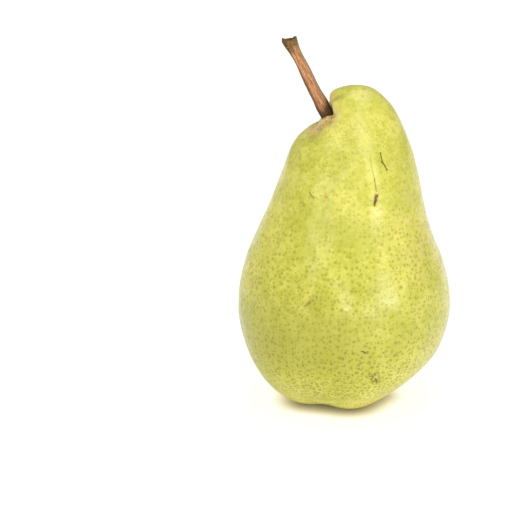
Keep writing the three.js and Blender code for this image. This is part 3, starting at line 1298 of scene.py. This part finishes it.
@dataclass
class DriedFlower:
    """The dried flower in the hollow: five sepals round the stamens."""

    middle: Point = (-1.7, 0.0, 5.1)
    first_turn: float = -37.0
    count: int = 5
    gap: float = 0.3
    sepals: list[Sepal] = field(default_factory=list)
    tuft: StamenTuft = field(init=False)

    def build(self) -> None:
        """Shapes the sepals and the stamens."""
        root = (self.middle[0], self.middle[1], self.middle[2] - self.gap)
        for number in range(1, self.count + 1):
            turn = self.first_turn + 360 / self.count * (number - 1)
            sepal = Sepal(number, root, turn, length=4.2 + 0.2 * (number % 3 - 1))
            sepal.build()
            self.sepals.append(sepal)
        self.tuft = StamenTuft(self.middle)
        self.tuft.build()

    def dress(self) -> None:
        """Gives the flower its dry finishes."""
        papery = DryFlowerFinish("dried_sepal", srgb(126, 96, 62), srgb(62, 44, 30)).material()
        for sepal in self.sepals:
            sepal.dress(papery)
        black = DryFlowerFinish("dried_stamen", srgb(92, 68, 44), srgb(38, 27, 20), 0.3).material()
        self.tuft.dress(black)


# ---- The studio ----


class Lamp(Enum):
    """The studio's soft lights: place in metres, size, power in watts and colour."""

    KEY = ((-0.85, -1.05, 0.75), 1.0, 5.6, (1.0, 0.99, 0.97))
    SIDE = ((0.8, -0.96, 0.13), 0.56, 5.9, (1.0, 1.0, 1.0))
    FRONT = ((0.01, -1.22, 0.25), 0.34, 1.7, (1.0, 1.0, 1.0))
    TOP = ((0.15, 0.1, 1.5), 1.2, 8.0, (1.0, 1.0, 1.0))


@dataclass
class Studio:
    """A pale, evenly glowing table with a painted shadow round the pear's foot, soft light, and the
    camera that looks slightly down on the pear.
    """

    aim: Point = (-28.5, -0.6, 48.1)
    distance: float = 550.0
    tilt: float = 17.0
    seen_width: float = 163.2
    sensor: float = 36.0
    lamp_aim: float = 50.0
    sky: float = 0.42
    table_reach: float = 3.0
    table_grey: Colour = (0.32, 0.32, 0.32, 1.0)
    table_glow: float = 0.86
    contact: float = 4.5
    # Painted contact shadow: the glow's colour, from closed in under the pear (0) to open table
    # (1).
    painted_contact_shadow: tuple[tuple[float, Colour], ...] = (
        (0.0, srgb(44, 40, 16)),
        (0.25, srgb(168, 154, 106)),
        (0.55, srgb(238, 229, 196)),
        (0.85, srgb(252, 248, 230)),
        (1.0, srgb(255, 254, 248)),
    )

    def build(self) -> None:
        """Sets up the table, the lights and the camera."""
        self._table()
        self._lights()
        self._camera()
        bpy.context.scene.view_settings.view_transform = "Standard"

    def _table(self) -> None:
        """Lays the pale table top; it glows evenly, and a shadow is painted into its glow where the
        pear comes near.
        """
        reach = self.table_reach
        mesh = bpy.data.meshes.new("table")
        corners = [(-reach, -reach, 0), (reach, -reach, 0), (reach, reach, 0), (-reach, reach, 0)]
        mesh.from_pydata(corners, [], [(0, 1, 2, 3)])
        table = bpy.data.objects.new("table", mesh)
        bpy.context.scene.collection.objects.link(table)
        shader = Shader("table_white")
        # The glow darkens near the pear: a painted contact shadow.
        openness = shader.node("ShaderNodeAmbientOcclusion", {"samples": 12},
                               {"Distance": self.contact * MM}, "AO")
        glow_with_painted_shadow = shader.node("ShaderNodeValToRGB", {"stops": self.painted_contact_shadow}, {0: openness})
        mesh.materials.append(
            shader.finish({"Base Color": self.table_grey, "Roughness": 0.9,
                           "Specular IOR Level": 0.1, "Emission Color": glow_with_painted_shadow,
                           "Emission Strength": self.table_glow})
        )

    def _lights(self) -> None:
        """Hangs the soft lights, and fills the room with even light."""
        target = Vector((0, 0, self.lamp_aim * MM))
        for lamp in Lamp:
            place, size, power, colour = lamp.value
            data = bpy.data.lights.new(lamp.name.lower(), "AREA")
            data.shape = "DISK"
            data.size = size
            data.energy = power
            data.color = colour
            light = bpy.data.objects.new(lamp.name.lower(), data)
            light.location = place
            light.rotation_euler = (target - Vector(place)).to_track_quat("-Z", "Y").to_euler()
            bpy.context.scene.collection.objects.link(light)
        world = bpy.data.worlds.new("room")
        world.use_nodes = True
        backdrop = world.node_tree.nodes["Background"]
        backdrop.inputs["Color"].default_value = (1, 1, 1, 1)
        backdrop.inputs["Strength"].default_value = self.sky
        bpy.context.scene.world = world

    def _camera(self) -> None:
        """Points the camera at the pear."""
        data = bpy.data.cameras.new("camera")
        data.sensor_width = self.sensor
        data.lens = self.sensor * self.distance / self.seen_width
        data.clip_start = 0.01
        camera = bpy.data.objects.new("camera", data)
        tilt = math.radians(self.tilt)
        away = Vector((0, -math.cos(tilt), math.sin(tilt))) * self.distance
        camera.location = (Vector(self.aim) + away) * MM
        camera.rotation_euler = (math.pi / 2 - tilt, 0, 0)
        bpy.context.scene.collection.objects.link(camera)
        bpy.context.scene.camera = camera


# ---- The whole pear ----


def main() -> None:
    """Builds the pear and its studio, in order; each piece logs its face count."""
    logging.basicConfig(level=logging.INFO, format="%(name)s: %(message)s")
    for assembly in (Fruit(), Stem(), DriedFlower()):
        assembly.build()
        assembly.dress()
    Studio().build()


if __name__ == "__main__":
    main()
